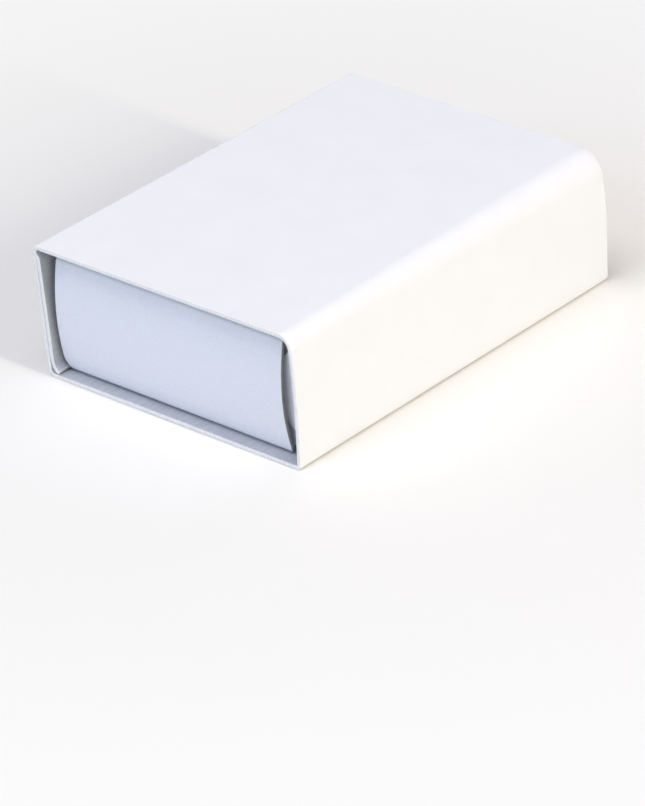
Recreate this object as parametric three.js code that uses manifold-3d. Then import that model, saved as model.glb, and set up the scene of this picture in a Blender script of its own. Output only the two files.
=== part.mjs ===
// A small slide-open matchbox in plain white card: a folded and glued sleeve, a folded tray
// that slides out of either end, a striking strip on one long side, and the matches.
// Millimetres, +Z up. X runs across the box, Y along it, and it stands on z = 0.
import * as THREE from 'three';
import { mergeVertices } from 'three/addons/utils/BufferGeometryUtils.js';
import Module from 'manifold-3d';

const wasm = await Module();
wasm.setup();

// Sleeve
const SLEEVE_LENGTH = 52;
const SLEEVE_WIDTH = 36;
const SLEEVE_HEIGHT = 15.4;
const SLEEVE_CARD = 0.45;
const GLUE_LINE = 0.05; // film between the two plies of the lapped side
const GLUE_BASE = 3.2; // lower edge of the film, above the table
const GLUE_MARGIN = 1.5; // the film stops this far short of the card's other edges
const SHARP_FOLD = 0.6; // outside radius of the two folds the sleeve was pressed flat on
const MOUTH_FOLD = 1.7; // outside radius of the soft top fold, at the front
const TAIL_FOLD = 3.0; // the same fold at the back
const LAP_FOLD = 0.95; // outside radius of the bottom fold beside the lap
const LAP_TILT = 0.6; // the lapped side comes in by this much towards the bottom
const LAP_BASE = 0.75; // lower edge of the inner lap above the table
const LAP_CURL = 3; // below this height the lap curls over the bottom fold
const LAP_REACH = 0.85; // its edge ends this far inwards
const TOP_INSET = 0.1; // the sharp top fold lies this far inside the outer ply's face
const TOP_STEP = 0.8; // height over which the sheet steps out over the outer ply
const OUTER_PLY_DROP = 1.4; // free edge of the outer ply below the top
const SIDE_BULGE = 0.2; // the single-ply side bellies out by this much
const LEAN = 0.5; // the box leans towards -X by this much over its height

// Striking strip, a thin friction coat on the lapped side
const STRIP_COAT = 0.12;
const STRIP_HEIGHT = 9.6;
const STRIP_BASE = 3.1; // its lower edge above the table
const STRIP_END_MARGIN = 1.5; // bare card left at each end of the side
const STRIP_SEAT = 0.01; // between the coat and the card

// Tray
const TRAY_CARD = 0.4;
const END_RECESS = 1.4; // from the sleeve's edge to the folds of the tray's ends
const FLOOR_CLEARANCE = 0.1; // under the tray
const RIM_CLEARANCE = 1; // above it
const LAP_CLEARANCE = 0.34; // beside the inner lap, where it starts to curl
const FOLD_CLEARANCE = 0.25; // between the rim and the inside of the soft top fold
const EDGE_FOLD = 1.6; // outside radius between floor and long walls
const END_FOLD = 0.8; // outside radius between floor and end plies
const CORNER_FOLD = 0.9; // outside radius between a long wall and its flaps
const END_BOW = 0.7; // the outer end ply bows out by this much
const PLY_GAP = 0.1; // between the plies of an end
const END_INSET_LEFT = 0.1; // end ply edge inside the tray's left side
const END_INSET_RIGHT = 1.2; // end ply edge inside the tray's right side
const NOTCH_CLEARANCE = 0.1; // beside the long walls, where an end ply turns inwards
const FLAP_LENGTH = 13;
const FLAP_RISE = 2; // lower edge of a flap above the underside of the tray
const FLAP_DROP = 1.4; // upper edge of a flap below the tray's rim

// Matches, all with their heads towards -Y
const SPLINT = 1.9; // side of the square splint
const HEAD_RADIUS = 1.4;
const HEAD_LENGTH = 3.6;
const HEAD_FULLNESS = 0.6; // below 1 the head is fuller than an ellipse, as a dipped bead is
const MATCH_END_ROOM = 1.2; // from each end of a match to the tray's ends
const LAYER_GAP = 0.2; // between one layer and the next
const HEAD_GAP = 0.3; // least room between heads side by side
const WALL_GAP = 0.5; // between the outermost heads and the long walls
const SIDE_SCATTER = 0.08; // sideways scatter of each end of a match
const END_SCATTER = 0.35; // lengthways scatter

// Smoothness of the folds
const FOLD_STEPS = 6;
const BOW_STEPS = 8;
const HEAD_SIDES = 8;
const HEAD_RINGS = 6;
const CUT_PAST = 1; // cutting bodies reach this far beyond what they cut

const QUARTER = Math.PI / 2;

// Points of a drawn path, without the doubles where its pieces meet
function tracePath(path, steps) {
  const points = [];
  for (const curve of path.curves) {
    const count = curve.isLineCurve ? 1 : steps;
    for (const point of curve.getPoints(count)) {
      const last = points[points.length - 1];
      if (!last || last.distanceTo(point) > 1e-6) points.push(point);
    }
  }
  return points;
}

// Outline of a sheet that follows a line: half its card on either side
function sheetOutline(line, card) {
  const normal = (from, to) => new THREE.Vector2(from.y - to.y, to.x - from.x).normalize();
  const last = line.length - 1;
  const leftSide = [];
  const rightSide = [];
  line.forEach((point, i) => {
    const before = normal(line[Math.max(i - 1, 0)], line[Math.max(i, 1)]);
    const after = normal(line[Math.min(i, last - 1)], line[Math.min(i + 1, last)]);
    const mitre = before.clone().add(after).normalize();
    mitre.multiplyScalar(card / 2 / mitre.dot(before));
    leftSide.push(point.clone().add(mitre));
    rightSide.push(point.clone().sub(mitre));
  });
  return leftSide.concat(rightSide.reverse());
}

// Closed body between two clockwise outlines of equally many points, one at each end
function loftAlongY(frontOutline, backOutline, front, back) {
  const count = frontOutline.length;
  const positions = [];
  for (const point of frontOutline) positions.push(point.x, front, point.y);
  for (const point of backOutline) positions.push(point.x, back, point.y);
  const faces = [];
  for (const [a, b, c] of THREE.ShapeUtils.triangulateShape(frontOutline, [])) {
    const turned = THREE.ShapeUtils.isClockWise([a, b, c].map((index) => frontOutline[index]));
    const [p, q] = turned ? [c, b] : [b, c];
    faces.push(a, p, q, a + count, q + count, p + count);
  }
  for (let i = 0; i < count; i += 1) {
    const j = (i + 1) % count;
    faces.push(i, j, i + count, j, j + count, i + count);
  }
  const geometry = new THREE.BufferGeometry();
  geometry.setAttribute('position', new THREE.Float32BufferAttribute(positions, 3));
  geometry.setIndex(faces);
  return geometry;
}

// Prisms of an outline drawn in the plane across X, across Y or across Z
function prismAlongX(outline, from, to) {
  const geometry = extrude(outline, to - from);
  geometry.applyMatrix4(new THREE.Matrix4().set(0, 0, 1, from, 1, 0, 0, 0, 0, 1, 0, 0, 0, 0, 0, 1));
  return geometry;
}

function prismAlongY(outline, from, to) {
  const geometry = extrude(outline, to - from);
  geometry.rotateX(QUARTER);
  return geometry.translate(0, to, 0);
}

function prismAlongZ(outline, from, to) {
  return extrude(outline, to - from).translate(0, 0, from);
}

function extrude(outline, depth) {
  return new THREE.ExtrudeGeometry(new THREE.Shape(outline), { depth, bevelEnabled: false });
}

function block(x, y, z) {
  const geometry = new THREE.BoxGeometry(x[1] - x[0], y[1] - y[0], z[1] - z[0]);
  return geometry.translate((x[0] + x[1]) / 2, (y[0] + y[1]) / 2, (z[0] + z[1]) / 2);
}

// three.js geometry to a solid that can be joined and cut, and back
function toSolid(geometry) {
  const bare = geometry.clone();
  bare.deleteAttribute('normal');
  bare.deleteAttribute('uv');
  const merged = mergeVertices(bare, 1e-5);
  return new wasm.Manifold(new wasm.Mesh({
    numProp: 3,
    vertProperties: new Float32Array(merged.attributes.position.array),
    triVerts: new Uint32Array(merged.index.array),
  }));
}

function toGeometry(solid) {
  const mesh = solid.getMesh();
  const geometry = new THREE.BufferGeometry();
  geometry.setAttribute('position', new THREE.BufferAttribute(mesh.vertProperties, 3));
  geometry.setIndex(new THREE.BufferAttribute(mesh.triVerts, 1));
  geometry.computeVertexNormals();
  return geometry;
}

// The sleeve has relaxed out of square, and the tray inside it has followed
function leanOver(geometry) {
  const slope = -LEAN / SLEEVE_HEIGHT;
  geometry.applyMatrix4(new THREE.Matrix4().makeShear(0, 0, 0, 0, slope, 0));
  return geometry.translate(LEAN / 2, 0, 0);
}

// Middle of the outer ply and of the inner lap at a height, on the lapped side
const outerTop = SLEEVE_HEIGHT - OUTER_PLY_DROP;

function outerPlyX(z) {
  const share = (outerTop - z) / (outerTop - LAP_FOLD);
  return -SLEEVE_WIDTH / 2 + SLEEVE_CARD / 2 + LAP_TILT * share;
}

function innerLap(z) {
  return outerPlyX(z) + SLEEVE_CARD + GLUE_LINE;
}

// Line down the middle of the sleeve's card, seen from the front: up the inner lap, over
// the top, down the single-ply side, back along the bottom and up the outer ply
function sleeveLine(softFold) {
  const left = -SLEEVE_WIDTH / 2;
  const right = SLEEVE_WIDTH / 2;
  const half = SLEEVE_CARD / 2;
  const lapX = innerLap(LAP_CURL);
  const cornerX = left + TOP_INSET + half;
  const foldZ = SLEEVE_HEIGHT - SHARP_FOLD;
  const stepZ = foldZ - TOP_STEP - half;
  const bottomX = left + LAP_TILT + LAP_FOLD;
  const line = new THREE.Path();
  line.moveTo(lapX + LAP_REACH, LAP_BASE);
  line.quadraticCurveTo(lapX, LAP_BASE + half, lapX, LAP_CURL);
  line.lineTo(innerLap(stepZ), stepZ);
  line.lineTo(cornerX, foldZ - half);
  line.lineTo(cornerX, foldZ);
  line.absarc(left + TOP_INSET + SHARP_FOLD, foldZ, SHARP_FOLD - half, Math.PI, QUARTER, true);
  line.lineTo(right - softFold, SLEEVE_HEIGHT - half);
  line.absarc(right - softFold, SLEEVE_HEIGHT - softFold, softFold - half, QUARTER, 0, true);
  line.quadraticCurveTo(right - half + 2 * SIDE_BULGE, SLEEVE_HEIGHT / 2, right - half, SHARP_FOLD);
  line.absarc(right - SHARP_FOLD, SHARP_FOLD, SHARP_FOLD - half, 0, -QUARTER, true);
  line.lineTo(bottomX, half);
  line.absarc(bottomX, LAP_FOLD, LAP_FOLD - half, -QUARTER, -Math.PI, true);
  line.lineTo(outerPlyX(outerTop), outerTop);
  return tracePath(line, FOLD_STEPS);
}

function sleeveGeometry() {
  const front = sheetOutline(sleeveLine(MOUTH_FOLD), SLEEVE_CARD);
  const back = sheetOutline(sleeveLine(TAIL_FOLD), SLEEVE_CARD);
  const end = SLEEVE_LENGTH / 2;
  const sheet = toSolid(loftAlongY(front, back, -end, end));
  // The film reaches into both plies, so that it joins them
  const film = toSolid(prismAlongY(
    lappedLayer(SLEEVE_CARD / 2 - GLUE_LINE / 2, 2 * GLUE_LINE, GLUE_BASE, outerTop - GLUE_MARGIN),
    -end + GLUE_MARGIN,
    end - GLUE_MARGIN,
  ));
  return leanOver(toGeometry(sheet.add(film)));
}

// Outline of a thin layer that follows the lapped side, from how far it starts inwards of
// the outer ply's middle
function lappedLayer(inwards, thickness, low, high) {
  return [[inwards, low], [inwards + thickness, low], [inwards + thickness, high], [inwards, high]]
    .map(([x, z]) => new THREE.Vector2(outerPlyX(z) + x, z));
}

function stripGeometry() {
  const end = SLEEVE_LENGTH / 2 - STRIP_END_MARGIN;
  const outwards = -SLEEVE_CARD / 2 - STRIP_SEAT - STRIP_COAT;
  const outline = lappedLayer(outwards, STRIP_COAT, STRIP_BASE, STRIP_BASE + STRIP_HEIGHT);
  return leanOver(prismAlongY(outline, -end, end));
}

// Outer faces of the tray, from the room inside the sleeve
const tray = {
  left: innerLap(LAP_CURL) + SLEEVE_CARD / 2 + LAP_CLEARANCE,
  base: SLEEVE_CARD + FLOOR_CLEARANCE,
  rim: SLEEVE_HEIGHT - SLEEVE_CARD - RIM_CLEARANCE,
  end: SLEEVE_LENGTH / 2 - END_RECESS,
};
// The rim's corner passes under the soft top fold where that is widest
const rimAboveFold = Math.max(tray.rim - (SLEEVE_HEIGHT - TAIL_FOLD), 0);
const foldReach = Math.sqrt((TAIL_FOLD - SLEEVE_CARD) ** 2 - rimAboveFold ** 2);
tray.right = SLEEVE_WIDTH / 2 - TAIL_FOLD + foldReach - FOLD_CLEARANCE;
// Middle of each ply of an end, counted inwards from the end
const outerPly = TRAY_CARD / 2;
const flapPly = outerPly + TRAY_CARD + PLY_GAP;
const innerPly = flapPly + TRAY_CARD + PLY_GAP;

// Floor and both long walls, seen from the front
function trayTrough() {
  const half = TRAY_CARD / 2;
  const foldZ = tray.base + EDGE_FOLD;
  const line = new THREE.Path();
  line.moveTo(tray.left + half, tray.rim);
  line.lineTo(tray.left + half, foldZ);
  line.absarc(tray.left + EDGE_FOLD, foldZ, EDGE_FOLD - half, Math.PI, 3 * QUARTER, false);
  line.lineTo(tray.right - EDGE_FOLD, tray.base + half);
  line.absarc(tray.right - EDGE_FOLD, foldZ, EDGE_FOLD - half, -QUARTER, 0, false);
  line.lineTo(tray.right - half, tray.rim);
  const reach = tray.end - flapPly + half - CORNER_FOLD;
  return prismAlongY(sheetOutline(tracePath(line, FOLD_STEPS), TRAY_CARD), -reach, reach);
}

// One long wall with the flap at each of its ends, seen from above
function wallWithFlaps(side) {
  const half = TRAY_CARD / 2;
  const wallX = side < 0 ? tray.left + half : tray.right - half;
  const inwards = -side;
  const flapY = tray.end - flapPly;
  const radius = CORNER_FOLD - half;
  const corner = new THREE.Vector2(wallX + inwards * radius, flapY - radius);
  const wallSide = side < 0 ? Math.PI : 0;
  const line = new THREE.Path();
  line.moveTo(wallX + inwards * FLAP_LENGTH, -flapY);
  line.lineTo(corner.x, -flapY);
  line.absarc(corner.x, -corner.y, radius, -QUARTER, side < 0 ? -wallSide : wallSide, side < 0);
  line.lineTo(wallX, corner.y);
  line.absarc(corner.x, corner.y, radius, wallSide, QUARTER, side < 0);
  line.lineTo(wallX + inwards * FLAP_LENGTH, flapY);
  const outline = sheetOutline(tracePath(line, FOLD_STEPS), TRAY_CARD);
  return prismAlongZ(outline, tray.base + FLAP_RISE, tray.rim - FLAP_DROP);
}

// Both ends in one strip with the floor between them, seen from the side: up the inside,
// over the rim, down the bowed outer ply, along the floor and the same again
function endPlies() {
  const half = TRAY_CARD / 2;
  const inner = tray.end - innerPly;
  const outer = tray.end - outerPly;
  const radius = (innerPly - outerPly) / 2;
  const rimY = (inner + outer) / 2;
  const rimZ = tray.rim - half - radius;
  const foldY = tray.end - END_FOLD;
  const foldZ = tray.base + END_FOLD;
  const bowY = outer + 2 * END_BOW;
  const bowZ = (rimZ + foldZ) / 2;
  const line = new THREE.Path();
  line.moveTo(-inner, tray.base + TRAY_CARD + PLY_GAP);
  line.lineTo(-inner, rimZ);
  line.absarc(-rimY, rimZ, radius, 0, Math.PI, false);
  line.quadraticCurveTo(-bowY, bowZ, -outer, foldZ);
  line.absarc(-foldY, foldZ, END_FOLD - half, Math.PI, 3 * QUARTER, false);
  line.lineTo(foldY, tray.base + half);
  line.absarc(foldY, foldZ, END_FOLD - half, -QUARTER, 0, false);
  line.quadraticCurveTo(bowY, bowZ, outer, rimZ);
  line.absarc(rimY, rimZ, radius, 0, Math.PI, false);
  line.lineTo(inner, tray.base + TRAY_CARD + PLY_GAP);
  const outline = sheetOutline(tracePath(line, BOW_STEPS), TRAY_CARD);
  const from = tray.left + END_INSET_LEFT;
  const to = tray.right - END_INSET_RIGHT;
  return toSolid(prismAlongX(outline, from, to))
    .intersect(toSolid(roundedBlank(from, to)))
    .subtract(sideNotch(tray.left, 1))
    .subtract(sideNotch(tray.right, -1));
}

// The end plies are cut with their lower corners rounded off
function roundedBlank(from, to) {
  const radius = EDGE_FOLD - END_INSET_LEFT;
  const bottom = tray.base + radius;
  const outline = new THREE.Path();
  outline.moveTo(from, tray.rim + CUT_PAST);
  outline.lineTo(from, bottom);
  outline.absarc(from + radius, bottom, radius, Math.PI, 3 * QUARTER, false);
  outline.lineTo(to - radius, tray.base);
  outline.absarc(to - radius, bottom, radius, -QUARTER, 0, false);
  outline.lineTo(to, tray.rim + CUT_PAST);
  const reach = tray.end + END_BOW + CUT_PAST;
  return prismAlongY(tracePath(outline, FOLD_STEPS), -reach, reach);
}

// What turns inwards at the rim is narrower, so that it passes between the long walls
function sideNotch(wallFace, inwards) {
  const edges = [wallFace - inwards * CUT_PAST, wallFace + inwards * (TRAY_CARD + NOTCH_CLEARANCE)];
  const reach = tray.end - TRAY_CARD - PLY_GAP / 2;
  const floorTop = tray.base + TRAY_CARD + PLY_GAP / 2;
  return toSolid(block(edges.sort((a, b) => a - b), [-reach, reach], [floorTop, tray.rim + CUT_PAST]));
}

function trayGeometry() {
  const solid = toSolid(trayTrough())
    .add(toSolid(wallWithFlaps(-1)))
    .add(toSolid(wallWithFlaps(1)))
    .add(endPlies());
  return leanOver(toGeometry(solid));
}

// A match along -Y from the middle of its tail: a square splint and the head dipped over it
const matchLength = 2 * (tray.end - innerPly - TRAY_CARD / 2 - MATCH_END_ROOM);

function matchGeometry() {
  const half = SPLINT / 2;
  const headStart = matchLength - HEAD_LENGTH;
  const splint = block([-half, half], [-headStart - HEAD_LENGTH / 2, 0], [-half, half]);
  const profile = [];
  for (let ring = 0; ring <= HEAD_RINGS; ring += 1) {
    const angle = Math.PI * (1 - ring / HEAD_RINGS);
    const along = headStart + (HEAD_LENGTH / 2) * (1 + Math.cos(angle));
    profile.push(new THREE.Vector2(HEAD_RADIUS * Math.sin(angle) ** HEAD_FULLNESS, along));
  }
  profile[0].x = 0;
  profile[HEAD_RINGS].x = 0;
  const head = new THREE.LatheGeometry(profile, HEAD_SIDES).rotateX(Math.PI);
  return toGeometry(toSolid(splint).add(toSolid(head)));
}

// Repeatable scatter between -1 and 1
function scatter(seed) {
  const value = Math.sin(seed * 12.9898) * 43758.5453;
  return 2 * (value - Math.floor(value)) - 1;
}

// Layers of matches fan out from their tails, because the heads are thicker than the splints
function addMatches(group, material) {
  const shape = matchGeometry();
  const headSize = 2 * HEAD_RADIUS;
  const floorTop = tray.base + TRAY_CARD;
  const layers = Math.floor((tray.rim - floorTop) / (headSize + LAYER_GAP));
  const left = tray.left + TRAY_CARD + WALL_GAP;
  const room = tray.right - TRAY_CARD - WALL_GAP - left;
  const columns = Math.floor(room / (headSize + HEAD_GAP));
  const pitch = (room - headSize) / (columns - 1);
  const headAlong = matchLength - HEAD_LENGTH / 2;
  for (let layer = 0; layer < layers; layer += 1) {
    const tailZ = floorTop + LAYER_GAP + SPLINT / 2 + layer * (SPLINT + LAYER_GAP);
    const headZ = floorTop + LAYER_GAP + HEAD_RADIUS + layer * (headSize + LAYER_GAP);
    for (let column = 0; column < columns; column += 1) {
      const index = layer * columns + column + 1;
      const middleX = left + HEAD_RADIUS + column * pitch;
      const tailX = middleX + SIDE_SCATTER * scatter(index);
      const headX = middleX + SIDE_SCATTER * scatter(index + 100);
      const match = new THREE.Mesh(shape, material);
      match.name = `match_${String(index).padStart(2, '0')}`;
      match.position.set(tailX, matchLength / 2 + END_SCATTER * scatter(index + 200), tailZ);
      match.rotation.order = 'ZXY';
      match.rotation.z = Math.asin((headX - tailX) / headAlong);
      match.rotation.x = -Math.asin((headZ - tailZ) / headAlong);
      group.add(match);
    }
  }
}

function addPiece(group, name, geometry, material) {
  const piece = new THREE.Mesh(geometry, material);
  piece.name = name;
  group.add(piece);
}

const whiteCard = new THREE.MeshStandardMaterial({ color: '#f3f2ee', roughness: 0.62, metalness: 0 });
const trayCard = new THREE.MeshStandardMaterial({ color: '#eef0f2', roughness: 0.7, metalness: 0 });
const frictionCoat = new THREE.MeshStandardMaterial({ color: '#4a2a22', roughness: 0.9, metalness: 0 });
const aspen = new THREE.MeshStandardMaterial({ color: '#e2c79a', roughness: 0.75, metalness: 0 });

const matchbox = new THREE.Group();
addPiece(matchbox, 'sleeve', sleeveGeometry(), whiteCard);
addPiece(matchbox, 'striking_strip', stripGeometry(), frictionCoat);

// Everything here slides along Y with the tray
const drawer = new THREE.Group();
addPiece(drawer, 'tray', trayGeometry(), trayCard);
addMatches(drawer, aspen);
matchbox.add(drawer);

export default matchbox;
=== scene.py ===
"""Looks of a small slide-open matchbox in plain white card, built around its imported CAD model.

Lengths in the dataclasses are millimetres and angles degrees, unless a name says otherwise. X runs across the box,
Y along it with the front at -Y, and Z up, as in the CAD model.
"""
import logging
import math
from dataclasses import dataclass, field
from enum import Enum
from typing import Callable, Optional, Sequence, Union

import bmesh
import bpy
from bpy.types import ID, Material, Mesh, Node, NodeSocket, NodeTree, Object
from mathutils import Matrix, Vector


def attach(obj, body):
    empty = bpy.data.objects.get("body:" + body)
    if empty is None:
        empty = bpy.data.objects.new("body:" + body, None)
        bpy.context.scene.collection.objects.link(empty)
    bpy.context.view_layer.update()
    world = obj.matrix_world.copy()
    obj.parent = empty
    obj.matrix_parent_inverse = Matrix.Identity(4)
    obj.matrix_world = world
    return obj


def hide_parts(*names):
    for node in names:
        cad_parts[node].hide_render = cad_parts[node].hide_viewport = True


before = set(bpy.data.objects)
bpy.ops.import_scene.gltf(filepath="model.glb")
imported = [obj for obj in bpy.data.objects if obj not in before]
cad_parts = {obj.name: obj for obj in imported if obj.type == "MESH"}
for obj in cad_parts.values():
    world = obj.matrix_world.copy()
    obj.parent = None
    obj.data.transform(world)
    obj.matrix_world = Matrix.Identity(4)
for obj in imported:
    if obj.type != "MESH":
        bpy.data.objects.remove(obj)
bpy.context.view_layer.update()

log = logging.getLogger("matchbox")

MM = 0.001
IMAGE_WIDTH, IMAGE_HEIGHT = 645, 806
WELD = 0.002  # points closer than this are one
MIX_FACTOR, MIX_A, MIX_B, MIX_RESULT = 0, 6, 7, 2  # sockets of a Mix node set to colours
VECTOR_A, VECTOR_B, VECTOR_RESULT = 4, 5, 1  # and set to vectors
RANDOM_LOW, RANDOM_HIGH, RANDOM_RESULT = 2, 3, 1  # sockets of a Random Value node set to numbers
WHOLE_A, WHOLE_B = 2, 3  # inputs of a Compare node set to whole numbers

Point = tuple[float, float]
Value = Union[float, int, str, Sequence[float], NodeSocket, ID]


class End(Enum):
    """One of the two ends of the box, valued by its direction along Y."""

    FRONT = -1
    BACK = 1


class Wall(Enum):
    """One of the two long walls, valued by its direction along X."""

    LEFT = -1
    RIGHT = 1


class Face(Enum):
    """Which faces of a card a finish goes on, valued by material index."""

    OUTSIDE = 0
    INSIDE = 1
    CUT_EDGE = 2
    GLUE = 3


# Shared helpers


def linear(code: str) -> tuple[float, float, float, float]:
    """Turn an sRGB hex colour into linear RGBA.

    Args:
        code: Colour such as "#F2F2F0".

    Returns:
        Linear red, green, blue and an alpha of 1.
    """
    channels = (int(code[i:i + 2], 16) / 255 for i in (1, 3, 5))
    values = [c / 12.92 if c <= 0.04045 else ((c + 0.055) / 1.055) ** 2.4 for c in channels]
    return values[0], values[1], values[2], 1.0


def per_mm(size: float) -> float:
    """Texture scale at which one feature is `size` millimetres across."""
    return 1 / (size * MM)


def add_node(tree: NodeTree, kind: str, settings: Optional[dict[str, Value]] = None,
             inputs: Optional[dict[Union[str, int], Value]] = None) -> Node:
    """Add a node with its settings, input values and links.

    Args:
        tree: Node tree that gets the node.
        kind: Blender's identifier of the node.
        settings: Properties of the node by name.
        inputs: Values or linked output sockets, by the input's name or number.

    Returns:
        The new node.
    """
    node = tree.nodes.new(kind)
    for name, value in (settings or {}).items():
        setattr(node, name, value)
    for key, value in (inputs or {}).items():
        if isinstance(value, NodeSocket):
            tree.links.new(value, node.inputs[key])
        else:
            node.inputs[key].default_value = value
    return node


def modifier_tree(name: str, inputs: dict[str, str]) -> tuple[NodeTree, dict[str, NodeSocket]]:
    """Start a Geometry Nodes tree with named inputs and one geometry output.

    Args:
        name: Name of the tree.
        inputs: Socket types by input name.

    Returns:
        The tree and its input sockets by name, "Geometry" among them.
    """
    tree = bpy.data.node_groups.new(name, "GeometryNodeTree")
    tree.interface.new_socket("Geometry", in_out="OUTPUT", socket_type="NodeSocketGeometry")
    tree.interface.new_socket("Geometry", in_out="INPUT", socket_type="NodeSocketGeometry")
    for socket, kind in inputs.items():
        tree.interface.new_socket(socket, in_out="INPUT", socket_type=kind)
    sockets = add_node(tree, "NodeGroupInput").outputs
    return tree, {socket: sockets[socket] for socket in ("Geometry", *inputs)}


def close_tree(tree: NodeTree, geometry: NodeSocket, material: NodeSocket) -> None:
    """Turn what a tree made into plain mesh in one material, and send it out.

    Args:
        tree: Tree to end.
        geometry: What it made.
        material: Material that it gets.
    """
    real = add_node(tree, "GeometryNodeRealizeInstances", inputs={"Geometry": geometry}).outputs[0]
    dressed = add_node(tree, "GeometryNodeSetMaterial", inputs={"Geometry": real, "Material": material}).outputs[0]
    add_node(tree, "NodeGroupOutput", inputs={"Geometry": dressed})


def grid_place(tree: NodeTree, rows: NodeSocket) -> tuple[NodeSocket, ...]:
    """Where each point of a grid is, counted in columns and rows from 0.

    Args:
        tree: Tree that has the grid.
        rows: Number of its rows.

    Returns:
        Output sockets of the column and the row.
    """
    index = add_node(tree, "GeometryNodeInputIndex").outputs[0]
    ratio = add_node(tree, "ShaderNodeMath", {"operation": "DIVIDE"}, {0: index, 1: rows}).outputs[0]
    column = add_node(tree, "ShaderNodeMath", {"operation": "FLOOR"}, {0: ratio}).outputs[0]
    row = add_node(tree, "ShaderNodeMath", {"operation": "MODULO"}, {0: index, 1: rows}).outputs[0]
    return column, row


def run_tree(piece: Object, tree: NodeTree, values: dict[str, Value]) -> None:
    """Run a Geometry Nodes tree on a piece and keep the result as its plain mesh.

    Args:
        piece: Object whose mesh goes in, and is replaced.
        tree: Tree to run.
        values: Values of the tree's named inputs.
    """
    modifier = piece.modifiers.new(tree.name, "NODES")
    modifier.node_group = tree
    sockets = {item.name: item.identifier for item in tree.interface.items_tree if item.in_out == "INPUT"}
    for name, value in values.items():
        modifier[sockets[name]] = value
    apply_modifiers(piece)


def apply_modifiers(piece: Object) -> None:
    """Replace a piece's mesh by what its modifiers make of it, and remove them."""
    piece.update_tag()
    bpy.context.view_layer.update()
    graph = bpy.context.evaluated_depsgraph_get()
    result = bpy.data.meshes.new_from_object(
        piece.evaluated_get(graph), preserve_all_data_layers=True, depsgraph=graph)
    old = piece.data
    piece.modifiers.clear()
    piece.data = result
    bpy.data.meshes.remove(old)
    result.name = piece.name


def new_piece(name: str, mesh: Mesh) -> Object:
    """Link a new object at the origin.

    Args:
        name: Name of the piece.
        mesh: Its mesh, with its place in the points.

    Returns:
        The object.
    """
    piece = bpy.data.objects.new(name, mesh)
    bpy.context.scene.collection.objects.link(piece)
    return piece


def drawn_piece(name: str, work: bmesh.types.BMesh) -> Object:
    """Turn a finished bmesh into an object, and free it.

    Args:
        name: Name of the piece and its mesh.
        work: The bmesh, with its place in the points.

    Returns:
        The object.
    """
    mesh = bpy.data.meshes.new(name)
    work.to_mesh(mesh)
    work.free()
    return new_piece(name, mesh)


def direction(azimuth: float, elevation: float) -> Vector:
    """Way from the box to what stands at these angles, azimuth 0 being the front."""
    around, up = math.radians(azimuth), math.radians(elevation)
    return Vector((math.sin(around) * math.cos(up), -math.cos(around) * math.cos(up), math.sin(up)))


def move_points(mesh: Mesh, place: Callable[[Vector], Vector]) -> None:
    """Move every point of a mesh.

    Args:
        mesh: Mesh to change.
        place: Gives the new place for an old one.
    """
    for vertex in mesh.vertices:
        vertex.co = place(vertex.co)
    mesh.update()


def hand_over(piece: Object, body: str, nodes: Sequence[str]) -> None:
    """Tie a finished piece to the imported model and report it.

    Args:
        piece: Finished piece, at the origin.
        body: CAD body that it rides on.
        nodes: CAD nodes that it stands for.
    """
    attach(piece, body)
    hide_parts(*nodes)
    low, high = (Vector(corner) / MM for corner in mesh_box(piece.data))
    log.info("%s: %d faces, %s to %s mm, on %s", piece.name, len(piece.data.polygons),
             tuple(round(v, 2) for v in low), tuple(round(v, 2) for v in high), body)


def mesh_box(mesh: Mesh) -> tuple[Vector, Vector]:
    """Lowest and highest corners of a mesh."""
    columns = list(zip(*(vertex.co for vertex in mesh.vertices)))
    return Vector(map(min, columns)), Vector(map(max, columns))


@dataclass
class Section:
    """Line down the middle of a folded card, drawn in one plane, with how creased the card is at each point."""

    points: list[Point] = field(default_factory=list)
    creases: list[float] = field(default_factory=list)
    sharpest: float = 0.4  # a fold of this radius or less creases the card fully

    def _add(self, point: Point, crease: float) -> None:
        """Add one point."""
        self.points.append(point)
        self.creases.append(crease)

    def line(self, end: Point, steps: int = 1) -> "Section":
        """Go straight to a point, or start there.

        Args:
            end: Where the line ends.
            steps: Number of pieces.

        Returns:
            The section itself.
        """
        if not self.points:
            self._add(end, 0.0)
            return self
        start = Vector(self.points[-1])
        for i in range(1, steps + 1):
            self._add(tuple(start.lerp(Vector(end), i / steps)), 0.0)
        return self

    def fold(self, centre: Point, radius: float, start: float, end: float, steps: int) -> "Section":
        """Follow a fold from the point where the line now ends.

        Args:
            centre: Centre of the fold.
            radius: Radius down the middle of the card.
            start: Angle at which the fold starts.
            end: Angle at which it ends.
            steps: Number of pieces.

        Returns:
            The section itself.
        """
        for i in range(1, steps + 1):
            share = i / steps
            angle = math.radians(start + (end - start) * share)
            crease = math.sin(math.pi * share) * min(self.sharpest / radius, 1.0) ** 2
            self._add((centre[0] + radius * math.cos(angle), centre[1] + radius * math.sin(angle)), crease)
        return self

    def bend(self, control: Point, end: Point, steps: int) -> "Section":
        """Follow a shallow bend.

        Args:
            control: Point that the bend is drawn towards.
            end: Where it ends.
            steps: Number of pieces.

        Returns:
            The section itself.
        """
        start = Vector(self.points[-1])
        for i in range(1, steps + 1):
            share = i / steps
            near, far = start.lerp(Vector(control), share), Vector(control).lerp(Vector(end), share)
            self._add(tuple(near.lerp(far, share)), 0.0)
        return self


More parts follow.
